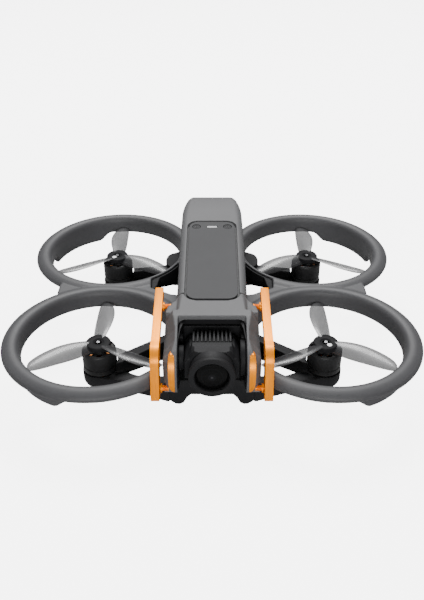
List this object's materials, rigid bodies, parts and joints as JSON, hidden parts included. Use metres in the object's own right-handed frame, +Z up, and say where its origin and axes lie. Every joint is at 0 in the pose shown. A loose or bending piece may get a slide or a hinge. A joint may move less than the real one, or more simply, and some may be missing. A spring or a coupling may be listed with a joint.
{
  "type": "ducted racing drone",
  "caption": "Small first-person-view drone with a slim body, tilting nose camera between bumper bars, and propellers in joined ring guards.",
  "frame": {"origin": "centre of the object's bounding box, at the level of the surface it stands on", "axes": "-Y is forward through the camera, +Y the battery end, +X the drone's own left, +Z up"},
  "size_m": [0.2132, 0.1854, 0.0618],
  "materials": {
    "guard_grey": "fine matte moulded plastic, dark grey",
    "shell_grey": "fine matte moulded plastic, mid grey",
    "plate_grey": "smooth satin plastic, darker grey",
    "frame_black": "matte fibre-filled black plastic",
    "belly_black": "matte black plastic",
    "motor_black": "satin black anodised bell",
    "camera_black": "satin black camera casing",
    "sensor_black": "satin black",
    "lens_glass": "dark coated optical glass",
    "light_clear": "milky light window",
    "stator_copper": "copper windings on a steel core",
    "prop_smoke": "thin smoky plastic",
    "orange": "satin orange anodised aluminium",
    "board_green": "circuit board",
    "plain_aluminium": "bare aluminium",
    "battery_grey": "matte dark grey battery casing"
  },
  "bodies": {
    "airframe": {"arm_front_left": "frame_black", "arm_front_right": "frame_black", "arm_rear_left": "frame_black", "arm_rear_right": "frame_black", "battery_socket": "sensor_black", "belly_cover": "belly_black", "belly_light": "light_clear", "bumper_left": "orange", "bumper_post_left_lower": "orange", "bumper_post_left_upper": "orange", "bumper_post_right_lower": "orange", "bumper_post_right_upper": "orange", "bumper_right": "orange", "cheek_insert_left": "orange", "cheek_insert_right": "orange", "esc_board": "board_green", "front_cowl": "shell_grey", "gimbal_motor": "sensor_black", "gimbal_pivot": "sensor_black", "gimbal_yoke": "camera_black", "guard_bracket_left": "frame_black", "guard_bracket_right": "frame_black", "guard_left": "guard_grey", "guard_right": "guard_grey", "heat_spreader": "plain_aluminium", "lower_frame": "frame_black", "main_board": "board_green", "motor_stator_front_left": "stator_copper", "motor_stator_front_right": "stator_copper", "motor_stator_rear_left": "stator_copper", "motor_stator_rear_right": "stator_copper", "range_sensor": "sensor_black", "status_light": "light_clear", "top_plate": "plate_grey", "top_shell": "shell_grey", "usb_port": "plain_aluminium", "vision_lens_front": "lens_glass", "vision_lens_rear": "lens_glass"},
    "camera": {"camera_housing": "camera_black", "camera_heat_sink": "camera_black", "lens_barrel": "camera_black", "lens_glass": "lens_glass"},
    "battery": {"battery_case": "battery_grey", "battery_tail": "shell_grey"},
    "power_button": {"power_button": "plate_grey"},
    "link_button": {"link_button": "plate_grey"},
    "rotor_front_left": {"motor_bell_front_left": "motor_black", "propeller_front_left": "prop_smoke"},
    "rotor_front_right": {"motor_bell_front_right": "motor_black", "propeller_front_right": "prop_smoke"},
    "rotor_rear_left": {"motor_bell_rear_left": "motor_black", "propeller_rear_left": "prop_smoke"},
    "rotor_rear_right": {"motor_bell_rear_right": "motor_black", "propeller_rear_right": "prop_smoke"},
    "latch_left": {"battery_latch_left": "frame_black"},
    "latch_right": {"battery_latch_right": "frame_black"}
  },
  "joints": [
    {"name": "spin_front_left", "type": "hinge", "parent": "airframe", "child": "rotor_front_left", "pos_m": [0.0584, -0.0445, 0.0254], "axis": [0, 0, 1], "continuous": true},
    {"name": "spin_front_right", "type": "hinge", "parent": "airframe", "child": "rotor_front_right", "pos_m": [-0.0584, -0.0445, 0.0254], "axis": [0, 0, 1], "continuous": true},
    {"name": "spin_rear_left", "type": "hinge", "parent": "airframe", "child": "rotor_rear_left", "pos_m": [0.0584, 0.0445, 0.0254], "axis": [0, 0, 1], "continuous": true},
    {"name": "spin_rear_right", "type": "hinge", "parent": "airframe", "child": "rotor_rear_right", "pos_m": [-0.0584, 0.0445, 0.0254], "axis": [0, 0, 1], "continuous": true},
    {"name": "camera_tilt", "type": "hinge", "parent": "airframe", "child": "camera", "pos_m": [0, -0.068, 0.0376], "axis": [1, 0, 0], "range_deg": [-80, 85]},
    {"name": "battery_slide", "type": "slide", "parent": "airframe", "child": "battery", "axis": [0, 1, 0], "range_m": [0, 0.09]},
    {"name": "latch_press_left", "type": "slide", "parent": "battery", "child": "latch_left", "axis": [-1, 0, 0], "range_m": [0, 0.0012], "stiffness_N_per_m": 600, "springref_m": -0.0006},
    {"name": "latch_press_right", "type": "slide", "parent": "battery", "child": "latch_right", "axis": [1, 0, 0], "range_m": [0, 0.0012], "stiffness_N_per_m": 600, "springref_m": -0.0006},
    {"name": "power_press", "type": "slide", "parent": "airframe", "child": "power_button", "axis": [0, 0.0728, -0.9973], "range_m": [0, 0.0004], "stiffness_N_per_m": 1200, "springref_m": -0.0004},
    {"name": "link_press", "type": "slide", "parent": "airframe", "child": "link_button", "axis": [0, 0.0728, -0.9973], "range_m": [0, 0.0004], "stiffness_N_per_m": 1200, "springref_m": -0.0004}
  ]
}
